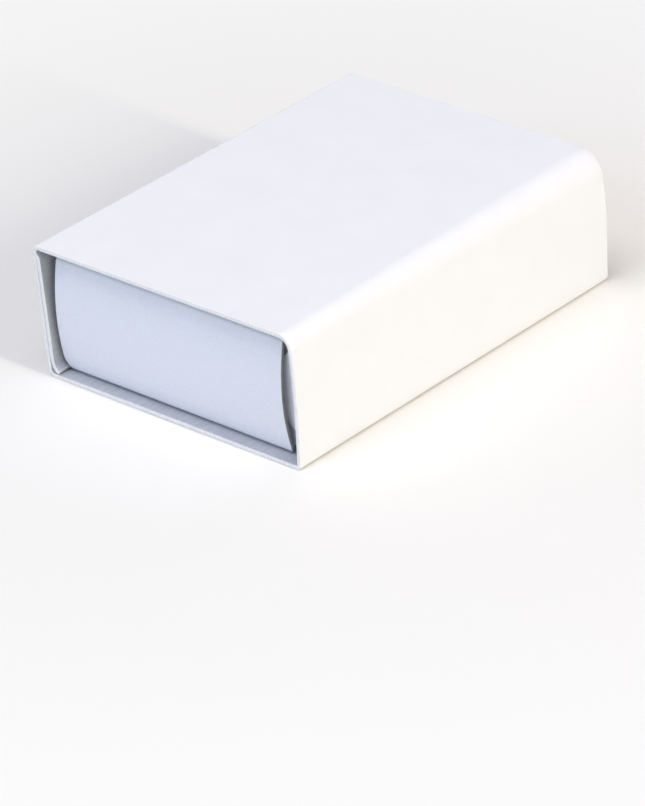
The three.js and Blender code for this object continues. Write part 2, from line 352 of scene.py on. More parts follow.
@dataclass(frozen=True)
class CardStock:
    """Thickness of a card and how its sheets are finished off."""

    thickness: float
    edge_round: float = 0.05  # a die-cut edge is slightly crushed
    edge_angle: float = 40.0

    def thicken(self, piece: Object, finishes: Sequence[Material]) -> None:
        """Give a bare sheet its thickness, its slightly crushed cut edges and its finishes.

        Args:
            piece: Sheet with its outside facing out.
            finishes: Materials by the values of Face.
        """
        piece.data.materials.clear()
        for finish in finishes:
            piece.data.materials.append(finish)
        solidify = piece.modifiers.new("thickness", "SOLIDIFY")
        solidify.thickness = self.thickness * MM
        solidify.offset = 0
        solidify.use_even_offset = True
        solidify.material_offset = Face.INSIDE.value
        solidify.material_offset_rim = Face.CUT_EDGE.value
        bevel = piece.modifiers.new("cut_edges", "BEVEL")
        bevel.width = self.edge_round * MM
        bevel.segments = 2
        bevel.limit_method = "ANGLE"
        bevel.angle_limit = math.radians(self.edge_angle)
        bevel.material = Face.CUT_EDGE.value
        for polygon in piece.data.polygons:
            polygon.use_smooth = True
        weighted = piece.modifiers.new("shading", "WEIGHTED_NORMAL")
        weighted.weight = 100
        apply_modifiers(piece)


# Finishes


@dataclass
class Surface:
    """A material under construction: its tree, its Principled shader and the object's own coordinates."""

    name: str
    roughness: float
    ior: float
    material: Material = field(init=False)
    tree: NodeTree = field(init=False)
    shader: Node = field(init=False)
    place: NodeSocket = field(init=False)

    def __post_init__(self) -> None:
        """Make the material with its bare shader."""
        self.material = bpy.data.materials.new(self.name)
        self.material.use_nodes = True
        self.tree = self.material.node_tree
        self.tree.nodes.clear()
        self.shader = add_node(self.tree, "ShaderNodeBsdfPrincipled", inputs={
            "Roughness": self.roughness, "IOR": self.ior})
        add_node(self.tree, "ShaderNodeOutputMaterial", inputs={"Surface": self.shader.outputs[0]})
        self.place = add_node(self.tree, "ShaderNodeTexCoord").outputs["Object"]

    def noise(self, size: Union[float, Sequence[float]], detail: float = 2.0) -> NodeSocket:
        """Value between 0 and 1 that wanders over the surface.

        Args:
            size: Size of its features, the same all ways or along X, Y and Z.
            detail: How many finer layers it has.

        Returns:
            Output socket of the pattern.
        """
        sizes = (size,) * 3 if isinstance(size, (int, float)) else size
        place = add_node(self.tree, "ShaderNodeMapping", inputs={
            "Vector": self.place, "Scale": tuple(per_mm(s) for s in sizes)}).outputs[0]
        return add_node(self.tree, "ShaderNodeTexNoise", inputs={
            "Vector": place, "Scale": 1.0, "Detail": detail}).outputs[0]

    def between(self, value: NodeSocket, low: float, high: float,
                to_low: float = 0.0, to_high: float = 1.0) -> NodeSocket:
        """Stretch a value from one range to another, held at its ends.

        Args:
            value: Value to stretch.
            low: Where it starts.
            high: Where it ends.
            to_low: Result at the start.
            to_high: Result at the end.

        Returns:
            Output socket of the result.
        """
        return add_node(self.tree, "ShaderNodeMapRange", inputs={
            "Value": value, "From Min": low, "From Max": high, "To Min": to_low, "To Max": to_high}).outputs[0]

    def tint(self, base: Union[str, NodeSocket], other: str,
             share: NodeSocket) -> NodeSocket:
        """Colour that goes from one to another by a share.

        Args:
            base: Colour where the share is 0.
            other: Colour where it is 1.
            share: Share of the other colour.

        Returns:
            Output socket of the colour.
        """
        first = linear(base) if isinstance(base, str) else base
        return add_node(self.tree, "ShaderNodeMix", {"data_type": "RGBA"}, {
            MIX_FACTOR: share, MIX_A: first, MIX_B: linear(other)}).outputs[MIX_RESULT]

    def colour(self, socket: NodeSocket) -> None:
        """Link the colour to the shader."""
        self.tree.links.new(socket, self.shader.inputs["Base Color"])

    def relief(self, height: NodeSocket, depth: float) -> None:
        """Raise the surface by a pattern, over any relief that it already has.

        Args:
            height: Pattern from 0 to 1.
            depth: Height of the pattern in millimetres.
        """
        under = self.shader.inputs["Normal"]
        inputs: dict[Union[str, int], Value] = {"Strength": 1.0, "Distance": depth * MM, "Height": height}
        if under.is_linked:
            inputs["Normal"] = under.links[0].from_socket
        bump = add_node(self.tree, "ShaderNodeBump", inputs=inputs)
        self.tree.links.new(bump.outputs[0], under)

    def rough(self, socket: NodeSocket) -> None:
        """Link the roughness to the shader."""
        self.tree.links.new(socket, self.shader.inputs["Roughness"])


@dataclass(frozen=True)
class Finish:
    """What all finishes share: an even gloss under the pattern that each of them draws."""

    roughness: float = 0.7
    ior: float = 1.5

    def make(self, name: str) -> Material:
        """Build the material.

        Args:
            name: Its name.

        Returns:
            The material.
        """
        surface = Surface(name, self.roughness, self.ior)
        self.draw(surface)
        return surface.material

    def draw(self, surface: Surface) -> None:
        """Draw the pattern, in each finish's own way.

        Args:
            surface: Material under construction.
        """
        raise NotImplementedError


@dataclass(frozen=True)
class CoatedBoard(Finish):
    """Clay-coated folding boxboard, calendered: a smooth matt white with a faint cloudiness and a barely felt tooth."""

    roughness: float = 0.55
    colour: str = "#F1F1F1"
    cloud: str = "#EFEFEF"
    crease: str = "#E4E3E1"
    cloud_size: float = 5.0
    sheen: tuple[float, float] = (0.54, 0.6)  # least and most roughness
    craze_width: float = 0.3
    craze_length: float = 1.6
    tooth_size: float = 0.35  # drawn coarser than the real 0.05 mm, so that it shows
    tooth_depth: float = 0.004
    wave_size: float = 12.0
    wave_depth: float = 0.012

    def draw(self, surface: Surface) -> None:
        """Draw the clouds, the crazed folds and the tooth.

        Args:
            surface: Material under construction.
        """
        clouds = surface.between(surface.noise(self.cloud_size, 4.0), 0.35, 0.7)
        base = surface.tint(self.colour, self.cloud, clouds)
        # The coating crazes a little where the board is folded
        fold = add_node(surface.tree, "ShaderNodeAttribute", {"attribute_name": "crease"}).outputs["Fac"]
        cracks = surface.noise((self.craze_width, self.craze_length, self.craze_width), 3.0)
        crazing = surface.between(cracks, 0.45, 0.7)
        worn = add_node(surface.tree, "ShaderNodeMath", {"operation": "MULTIPLY"}, {0: fold, 1: crazing}).outputs[0]
        surface.colour(surface.tint(base, self.crease, worn))
        surface.rough(surface.between(surface.noise(self.cloud_size / 3, 3.0), 0.3, 0.7, *self.sheen))
        surface.relief(surface.noise(self.wave_size, 1.0), self.wave_depth)
        surface.relief(surface.noise(self.tooth_size, 3.0), self.tooth_depth)


@dataclass(frozen=True)
class PulpBoard(Finish):
    """Bare, uncoated side of the board: matt pulp with short greyer fibres and flecks lying in it. Its default grey is
    partly the board's own grey back and partly painted shade for the dim inside of the sleeve.
    """

    roughness: float = 0.85
    ior: float = 1.25  # loose fibres hardly mirror anything
    # This grey is partly the board's own grey back and partly painted shade, darkening the sleeve's inside walls and
    # floor where little light reaches
    colour: str = "#BFC3C8"
    fibre: str = "#B2B5B8"
    fleck: str = "#A2A3A1"
    fibre_length: float = 1.6
    fibre_width: float = 0.18
    depth: float = 0.005

    def draw(self, surface: Surface) -> None:
        """Draw the fibres.

        Args:
            surface: Material under construction.
        """
        # Fibres lie mostly along the grain of the board, which runs along Y
        fibres = surface.noise((self.fibre_width, self.fibre_length, self.fibre_width), 3.0)
        base = surface.tint(self.colour, self.fibre, surface.between(fibres, 0.4, 0.75))
        flecks = surface.between(surface.noise(self.fibre_width * 2, 2.0), 0.7, 0.78)
        surface.colour(surface.tint(base, self.fleck, flecks))
        surface.relief(fibres, self.depth)


@dataclass(frozen=True)
class CutBoard(Finish):
    """Die-cut edge of the board: soft torn pulp in thin layers."""

    roughness: float = 0.9
    ior: float = 1.48
    colour: str = "#F4F3F2"
    layer: str = "#E5E2E0"
    layer_size: float = 0.12
    layer_length: float = 0.96
    depth: float = 0.006

    def draw(self, surface: Surface) -> None:
        """Draw the torn layers.

        Args:
            surface: Material under construction.
        """
        layers = surface.noise((self.layer_size, self.layer_length, self.layer_length), 2.0)
        surface.colour(surface.tint(self.colour, self.layer, surface.between(layers, 0.35, 0.75)))
        surface.relief(surface.noise(self.layer_size, 2.0), self.depth)


@dataclass(frozen=True)
class DriedGlue(Finish):
    """Dextrin glue, rolled on and dried between the plies: a brownish, slightly glossy film."""

    roughness: float = 0.4
    colour: str = "#A5876A"
    thick: str = "#7D6048"
    patch_size: float = 1.2
    lump_size: float = 0.5
    depth: float = 0.01

    def draw(self, surface: Surface) -> None:
        """Draw the thick and thin patches.

        Args:
            surface: Material under construction.
        """
        patches = surface.between(surface.noise(self.patch_size), 0.35, 0.65)
        surface.colour(surface.tint(self.colour, self.thick, patches))
        surface.relief(surface.noise(self.lump_size), self.depth)


@dataclass(frozen=True)
class FrictionCoat(Finish):
    """Red phosphorus and glass grit in binder, printed on the side: dark oxblood, dry and gritty."""

    roughness: float = 0.85
    ior: float = 1.55
    colour: str = "#4A2A22"
    worn: str = "#5A352B"
    grit: str = "#6A453A"
    grit_size: float = 0.16
    patch_size: float = 3.0
    wear: float = 0.35
    depth: float = 0.03

    def draw(self, surface: Surface) -> None:
        """Draw the grit and the worn patches.

        Args:
            surface: Material under construction.
        """
        grains = surface.noise(self.grit_size, 3.0)
        patches = surface.between(surface.noise(self.patch_size), 0.3, 0.7, 0.0, self.wear)
        base = surface.tint(self.colour, self.worn, patches)
        surface.colour(surface.tint(base, self.grit, surface.between(grains, 0.58, 0.75)))
        surface.relief(grains, self.depth)


@dataclass(frozen=True)
class Aspen(Finish):
    """Dry peeled aspen: pale straw, with fine straight grain along the splint and a tone of its own in each one."""

    roughness: float = 0.72
    colour: str = "#E6CFA4"
    grain: str = "#CFAF7E"
    dark: str = "#D8BC8D"
    grain_width: float = 0.2
    grain_length: float = 9.0
    depth: float = 0.02

    def draw(self, surface: Surface) -> None:
        """Draw the grain.

        Args:
            surface: Material under construction.
        """
        streaks = surface.noise((self.grain_width, self.grain_length, self.grain_width), 3.0)
        tone = add_node(surface.tree, "ShaderNodeAttribute", {"attribute_name": "tone"}).outputs["Fac"]
        base = surface.tint(self.colour, self.dark, tone)
        surface.colour(surface.tint(base, self.grain, surface.between(streaks, 0.45, 0.75)))
        surface.relief(streaks, self.depth)


@dataclass(frozen=True)
class DippedHead(Finish):
    """Match composition dipped and dried: dull red-brown with fine grains and tiny pits."""

    roughness: float = 0.7
    colour: str = "#8A3A2E"
    pale: str = "#A55143"
    grain_size: float = 0.2
    depth: float = 0.04

    def draw(self, surface: Surface) -> None:
        """Draw the grains and pits.

        Args:
            surface: Material under construction.
        """
        grains = surface.noise(self.grain_size, 3.0)
        surface.colour(surface.tint(self.colour, self.pale, surface.between(grains, 0.4, 0.7)))
        surface.relief(grains, self.depth)


# The box


@dataclass(frozen=True)
class Lean:
    """How far the whole box has relaxed out of square, towards -X as it rises."""

    reach: float = 0.5
    height: float = 15.4

    def at(self, z: float) -> float:
        """Sideways shift at a height."""
        return self.reach * (0.5 - z / self.height)

    def apply(self, mesh: Mesh) -> None:
        """Lean a finished mesh over."""
        move_points(mesh, lambda co: Vector((co.x + self.at(co.z / MM) * MM, co.y, co.z)))


@dataclass
class Sleeve:
    """The folded sleeve, glued along its lapped left side."""

    length: float = 52.0
    width: float = 36.0
    height: float = 15.4
    glue_line: float = 0.05
    glue_base: float = 3.0
    glue_drop: float = 0.4  # from the outer ply's free edge down to the film
    glue_margin: float = 0.15  # the film shows as a thin line at each end
    sharp_fold: float = 0.6
    mouth_fold: float = 1.7
    tail_fold: float = 3.0
    lap_fold: float = 0.95
    lap_tilt: float = 0.6  # the lapped side comes in by this much towards the bottom
    lap_base: float = 0.75
    lap_curl: float = 3.0  # below this height the inner lap curls over the bottom fold
    lap_reach: float = 0.85
    top_inset: float = 0.1
    top_step: float = 0.8  # height over which the sheet steps out over the outer ply
    outer_ply_drop: float = 1.4
    side_bulge: float = 0.2
    ripple: float = 0.05
    ripple_size: float = 14.0
    seed: float = 3.0
    stations: int = 44  # along the box
    stock: CardStock = CardStock(0.45)
    lean: Lean = Lean()

    def outer_ply(self, z: float) -> float:
        """Where the middle of the lapped side's outer ply is at a height."""
        top = self.height - self.outer_ply_drop
        share = (top - z) / (top - self.lap_fold)
        return -self.width / 2 + self.stock.thickness / 2 + self.lap_tilt * share

    def inner_lap(self, z: float) -> float:
        """Where the middle of the inner lap is at a height."""
        return self.outer_ply(z) + self.stock.thickness + self.glue_line

    def section(self, soft_fold: float) -> Section:
        """Line down the middle of the card: up the inner lap, over the top, down the right, back and up the left.

        Args:
            soft_fold: Outside radius of the soft top fold at this end.

        Returns:
            The section, in millimetres.
        """
        left, right, half = -self.width / 2, self.width / 2, self.stock.thickness / 2
        curl, top = self.lap_curl, self.height - self.sharp_fold
        tip = (self.inner_lap(curl) + self.lap_reach, self.lap_base)
        section = Section().line(tip)
        section.bend((self.inner_lap(curl), self.lap_base + half), (self.inner_lap(curl), curl), steps=12)
        # Over the outer ply's free edge the sheet steps out to the corner
        corner = left + self.top_inset + half
        low, high = top - self.top_step - half, top - half
        lap, middle = self.inner_lap(low), ((self.inner_lap(low) + corner) / 2, (low + high) / 2)
        section.line((lap, low), steps=8)
        section.bend((lap, middle[1] - self.top_step / 4), middle, steps=4)
        section.bend((corner, middle[1] + self.top_step / 4), (corner, high), steps=4)
        section.line((corner, top))
        section.fold((left + self.top_inset + self.sharp_fold, top), self.sharp_fold - half, 180, 90, steps=8)
        section.line((right - soft_fold, self.height - half), steps=24)
        section.fold((right - soft_fold, self.height - soft_fold), soft_fold - half, 90, 0, steps=16)
        section.bend((right - half + 2 * self.side_bulge, self.height / 2), (right - half, self.sharp_fold), steps=12)
        section.fold((right - self.sharp_fold, self.sharp_fold), self.sharp_fold - half, 0, -90, steps=8)
        centre = left + self.lap_tilt + self.lap_fold
        section.line((centre, half), steps=24)
        section.fold((centre, self.lap_fold), self.lap_fold - half, -90, -180, steps=12)
        outer_top = self.height - self.outer_ply_drop
        return section.line((self.outer_ply(outer_top), outer_top), steps=10)

    def _loft_tree(self) -> NodeTree:
        """Tree that sweeps a section along Y while it changes from its front shape to its back shape.

        Returns:
            The tree, with inputs Length, Stations, Ripple, Ripple Size, Seed and Material.
        """
        tree, given = modifier_tree("sleeve_sweep", {
            "Length": "NodeSocketFloat", "Stations": "NodeSocketInt", "Ripple": "NodeSocketFloat",
            "Ripple Size": "NodeSocketFloat", "Seed": "NodeSocketFloat", "Material": "NodeSocketMaterial"})
        count = add_node(tree, "GeometryNodeAttributeDomainSize", {"component": "MESH"}, {
            "Geometry": given["Geometry"]}).outputs["Point Count"]
        stations = given["Stations"]
        grid = add_node(tree, "GeometryNodeMeshGrid", inputs={"Vertices X": count, "Vertices Y": stations})
        around, station = grid_place(tree, stations)
        last = add_node(tree, "ShaderNodeMath", {"operation": "SUBTRACT"}, {0: stations, 1: 1.0}).outputs[0]
        share = add_node(tree, "ShaderNodeMath", {"operation": "DIVIDE"}, {0: station, 1: last}).outputs[0]
        samples = []
        for name, kind in (("front", "FLOAT_VECTOR"), ("back", "FLOAT_VECTOR"), ("crease", "FLOAT")):
            drawn = add_node(tree, "GeometryNodeInputNamedAttribute", {"data_type": kind}, {"Name": name})
            samples.append(add_node(tree, "GeometryNodeSampleIndex", {"data_type": kind, "domain": "POINT"}, {
                "Geometry": given["Geometry"], "Value": drawn.outputs[0], "Index": around}).outputs[0])
        front, back, crease = samples
        section = add_node(tree, "ShaderNodeMix", {"data_type": "VECTOR"}, {
            MIX_FACTOR: share, VECTOR_A: front, VECTOR_B: back}).outputs[VECTOR_RESULT]
        centred = add_node(tree, "ShaderNodeMath", {"operation": "SUBTRACT"}, {0: share, 1: 0.5}).outputs[0]
        along = add_node(tree, "ShaderNodeMath", {"operation": "MULTIPLY"}, {
            0: centred, 1: given["Length"]}).outputs[0]
        offset = add_node(tree, "ShaderNodeCombineXYZ", inputs={"Y": along}).outputs[0]
        place = add_node(tree, "ShaderNodeVectorMath", {"operation": "ADD"}, {0: section, 1: offset}).outputs[0]
        swept = add_node(tree, "GeometryNodeSetPosition", inputs={
            "Geometry": grid.outputs["Mesh"], "Position": place}).outputs[0]
        marked = add_node(tree, "GeometryNodeStoreNamedAttribute", {"data_type": "FLOAT", "domain": "POINT"}, {
            "Geometry": swept, "Name": "crease", "Value": crease}).outputs[0]
        # Card is never quite flat: it wanders in and out by a few hundredths of a millimetre
        scale = add_node(tree, "ShaderNodeMath", {"operation": "DIVIDE"}, {
            0: 1.0, 1: given["Ripple Size"]}).outputs[0]
        wander = add_node(tree, "ShaderNodeTexNoise", {"noise_dimensions": "4D"}, {
            "Vector": add_node(tree, "GeometryNodeInputPosition").outputs[0],
            "W": given["Seed"], "Scale": scale, "Detail": 1.0}).outputs[0]
        either_way = add_node(tree, "ShaderNodeMath", {"operation": "SUBTRACT"}, {0: wander, 1: 0.5}).outputs[0]
        depth = add_node(tree, "ShaderNodeMath", {"operation": "MULTIPLY"}, {
            0: either_way, 1: given["Ripple"]}).outputs[0]
        push = add_node(tree, "ShaderNodeVectorMath", {"operation": "SCALE"}, {
            0: add_node(tree, "GeometryNodeInputNormal").outputs[0], "Scale": depth}).outputs[0]
        rippled = add_node(tree, "GeometryNodeSetPosition", inputs={"Geometry": marked, "Offset": push}).outputs[0]
        close_tree(tree, rippled, given["Material"])
        return tree

    def build(self, finishes: Sequence[Material]) -> Object:
        """Sweep the sheet, thicken it and glue its lap.

        Args:
            finishes: Materials by the values of Face.

        Returns:
            The sleeve.
        """
        front, back = self.section(self.mouth_fold), self.section(self.tail_fold)
        drawn = bpy.data.meshes.new("sleeve_section")
        drawn.from_pydata([(x * MM, 0, z * MM) for x, z in front.points], [], [])
        for name, points in (("front", front.points), ("back", back.points)):
            layer = drawn.attributes.new(name, "FLOAT_VECTOR", "POINT")
            layer.data.foreach_set("vector", [v * MM for x, z in points for v in (x, 0, z)])
        drawn.attributes.new("crease", "FLOAT", "POINT").data.foreach_set("value", front.creases)
        piece = new_piece("card_sleeve", drawn)
        run_tree(piece, self._loft_tree(), {
            "Length": self.length * MM, "Stations": self.stations, "Ripple": 2 * self.ripple * MM,
            "Ripple Size": self.ripple_size * MM, "Seed": self.seed, "Material": finishes[Face.OUTSIDE.value]})
        self.stock.thicken(piece, finishes)
        self._add_glue(piece.data)
        self.lean.apply(piece.data)
        return piece

    def _add_glue(self, mesh: Mesh) -> None:
        """Lay the film of glue between the plies of the lapped side.

        Args:
            mesh: The thickened sleeve.
        """
        low, high = self.glue_base, self.height - self.outer_ply_drop - self.glue_drop
        reach = self.length / 2 - self.glue_margin
        near, far = self.stock.thickness / 2, self.stock.thickness / 2 + self.glue_line
        work = bmesh.new()
        work.from_mesh(mesh)
        rings = [[work.verts.new(Vector((self.outer_ply(z) + x, y, z)) * MM)
                  for x, z in ((near, low), (far, low), (far, high), (near, high))] for y in (-reach, reach)]
        film = [work.faces.new(rings[0]), work.faces.new(rings[1][::-1])]
        for i, point in enumerate(rings[0]):
            film.append(work.faces.new((point, rings[1][i], rings[1][i - 3], rings[0][i - 3])))
        for face in film:
            face.material_index = Face.GLUE.value
        work.to_mesh(mesh)
        work.free()


@dataclass
class Tray:
    """The folded tray: floor, long walls with end flaps, and ends folded over the flaps."""

    sleeve: Sleeve
    end_recess: float = 1.4
    floor_clearance: float = 0.1
    rim_clearance: float = 1.0
    lap_clearance: float = 0.34
    fold_clearance: float = 0.25
    edge_fold: float = 1.6
    end_fold: float = 0.8
    corner_fold: float = 0.9
    end_bow: float = 0.7
    ply_gap: float = 0.1
    end_inset_left: float = 0.1
    end_inset_right: float = 1.2
    foot_inset: float = 1.05  # the outer end ply keeps its width down to a sharp lower corner
    foot_height: float = 0.4
    taper_height: float = 6.5
    notch_clearance: float = 0.1
    flap_length: float = 13.0
    flap_rise: float = 2.0
    flap_drop: float = 0.8
    flap_cut: float = 1.5  # the corners of a flap are cut off at a slant, from its fold inwards
    columns: int = 24  # faces across an end
    stations: int = 30  # faces along a wall
    flap_rows: int = 6  # faces up a flap
    stock: CardStock = CardStock(0.4)
    left: float = field(init=False)
    right: float = field(init=False)
    base: float = field(init=False)
    rim: float = field(init=False)
    end: float = field(init=False)

    def __post_init__(self) -> None:
        """Find the tray's outer faces from the room inside the sleeve."""
        sleeve, card = self.sleeve, self.sleeve.stock.thickness
        self.left = sleeve.inner_lap(sleeve.lap_curl) + card / 2 + self.lap_clearance
        self.base = card + self.floor_clearance
        self.rim = sleeve.height - card - self.rim_clearance
        self.end = sleeve.length / 2 - self.end_recess
        above = max(self.rim - (sleeve.height - sleeve.tail_fold), 0)
        reach = math.sqrt((sleeve.tail_fold - card) ** 2 - above ** 2)
        self.right = sleeve.width / 2 - sleeve.tail_fold + reach - self.fold_clearance

    @property
    def half(self) -> float:
        """Half the card's thickness."""
        return self.stock.thickness / 2

    @property
    def flap_ply(self) -> float:
        """Middle of the flaps, inwards from the tray's end."""
        return self.half + self.stock.thickness + self.ply_gap

    @property
    def inner_ply(self) -> float:
        """Middle of the inner end ply, inwards from the tray's end."""
        return self.flap_ply + self.stock.thickness + self.ply_gap

    @property
    def trough_end(self) -> float:
        """Where the long walls turn into their flaps."""
        return self.end - self.flap_ply + self.half - self.corner_fold

    def _wall_heights(self) -> list[float]:
        """Heights of the points of a long wall, from the rim down to the floor's fold."""
        top, bottom = self.rim - self.flap_drop, self.base + self.flap_rise
        flap = [top + (bottom - top) * i / self.flap_rows for i in range(self.flap_rows + 1)]
        return [self.rim, (self.rim + top) / 2, *flap, self.base + self.edge_fold]

    def _trough(self) -> list[list[Vector]]:
        """Rows of points over the floor and both long walls, one row for each point of their section.

        Returns:
            Rows along Y, in millimetres.
        """
        radius, fold_z = self.edge_fold - self.half, self.base + self.edge_fold
        heights = self._wall_heights()
        section = Section()
        for z in heights:
            section.line((self.left + self.half, z))
        section.fold((self.left + self.edge_fold, fold_z), radius, 180, 270, steps=8)
        section.line((self.right - self.edge_fold, self.base + self.half), steps=self.columns)
        section.fold((self.right - self.edge_fold, fold_z), radius, -90, 0, steps=8)
        for z in reversed(heights[:-1]):
            section.line((self.right - self.half, z))
        return [[Vector((x, self.trough_end * (2 * i / self.stations - 1), z)) for i in range(self.stations + 1)]
                for x, z in section.points]

    def _flap(self, wall: Wall, end: End) -> list[list[Vector]]:
        """Rows of points over one flap, from the wall's end edge inwards.

        Args:
            wall: Long wall that the flap hangs on.
            end: End of the tray that it lies in.

        Returns:
            Rows up the flap, in millimetres.
        """
        radius = self.corner_fold - self.half
        wall_x = self.left + self.half if wall is Wall.LEFT else self.right - self.half
        inwards = -wall.value
        plan = Section().line((0.0, 0.0))
        plan.fold((radius, 0.0), radius, 180, 90, steps=8)
        plan.line((self.flap_cut, radius), steps=3).line((self.flap_length, radius), steps=6)
        heights = self._wall_heights()[2:-1]
        middle = (heights[0] + heights[-1]) / 2
        rows = []
        for across, outwards in plan.points:
            narrow = 1 - min(across, self.flap_cut) / (heights[0] - middle)
            rows.append([Vector((wall_x + inwards * across, end.value * (self.trough_end + outwards),
                                 middle + (z - middle) * narrow)) for z in heights])
        return rows

    def _right_inset(self, rise: float) -> float:
        """How far the outer end ply stops short of the tray's right face.

        Args:
            rise: Height above the middle of the floor's card.

        Returns:
            Distance from the right face.
        """
        if rise < self.foot_height:
            share = math.sqrt(1 - (1 - rise / self.foot_height) ** 2)
            return self.edge_fold + (self.foot_inset - self.edge_fold) * share
        share = min((rise - self.foot_height) / (self.taper_height - self.foot_height), 1.0)
        return self.foot_inset + (self.end_inset_right - self.foot_inset) * (1 - (1 - share) ** 2)

    def _end(self, end: End) -> list[list[Vector]]:
        """Rows of points over one end: up the bowed outer ply, over the rim and down the inner ply.

        Args:
            end: End of the tray.

        Returns:
            Rows across the end, in millimetres.
        """
        inner, outer = self.end - self.inner_ply, self.end - self.half
        radius = (self.inner_ply - self.half) / 2
        rim_y, rim_z = (inner + outer) / 2, self.rim - self.half - (outer - inner) / 2
        fold_y, fold_z = self.end - self.end_fold, self.base + self.end_fold
        side = Section().line((self.trough_end, self.base + self.half))
        side.line((fold_y, self.base + self.half), steps=2)
        side.fold((fold_y, fold_z), self.end_fold - self.half, -90, 0, steps=6)
        side.bend((outer + 2 * self.end_bow, (rim_z + fold_z) / 2), (outer, rim_z), steps=18)
        before_rim = len(side.points)
        side.fold((rim_y, rim_z), radius, 0, 180, steps=12)
        side.line((inner, self.base + self.stock.thickness + self.ply_gap), steps=8)
        corner = self.edge_fold - self.end_inset_left
        notch_left = self.stock.thickness + self.notch_clearance - self.end_inset_left
        turning_in = before_rim + 4  # a third of the way over the rim
        rows = []
        for i, (y, z) in enumerate(side.points):
            rise = max(z - self.base - self.half, 0.0)
            level = min(rise, corner) if i < before_rim else corner
            inset = corner - math.sqrt(corner ** 2 - (corner - level) ** 2)
            turned_in = notch_left if i >= turning_in else 0.0
            first = self.left + self.end_inset_left + inset + turned_in
            last = self.right - (self._right_inset(rise) if i < before_rim else self.end_inset_right)
            rows.append([Vector((first + (last - first) * k / self.columns, end.value * y, z))
                         for k in range(self.columns + 1)])
        return rows

    def build(self, finishes: Sequence[Material]) -> Object:
        """Weld the patches into one folded sheet and thicken it.

        Args:
            finishes: Materials by the values of Face.

        Returns:
            The tray.
        """
        work = bmesh.new()
        patches = [self._trough()]
        patches += [self._flap(wall, end) for wall in Wall for end in End]
        patches += [self._end(end) for end in End]
        for rows in patches:
            points = [[work.verts.new(point * MM) for point in row] for row in rows]
            for near, far in zip(points, points[1:]):
                for i in range(len(near) - 1):
                    work.faces.new((near[i], near[i + 1], far[i + 1], far[i]))
        bmesh.ops.remove_doubles(work, verts=work.verts, dist=WELD * MM)
        bmesh.ops.recalc_face_normals(work, faces=work.faces)
        floor = min(work.faces, key=lambda face: face.calc_center_median().length)
        if floor.normal.z > 0:
            bmesh.ops.reverse_faces(work, faces=work.faces)
        piece = drawn_piece("card_tray", work)
        self.stock.thicken(piece, finishes)
        self.sleeve.lean.apply(piece.data)
        return piece


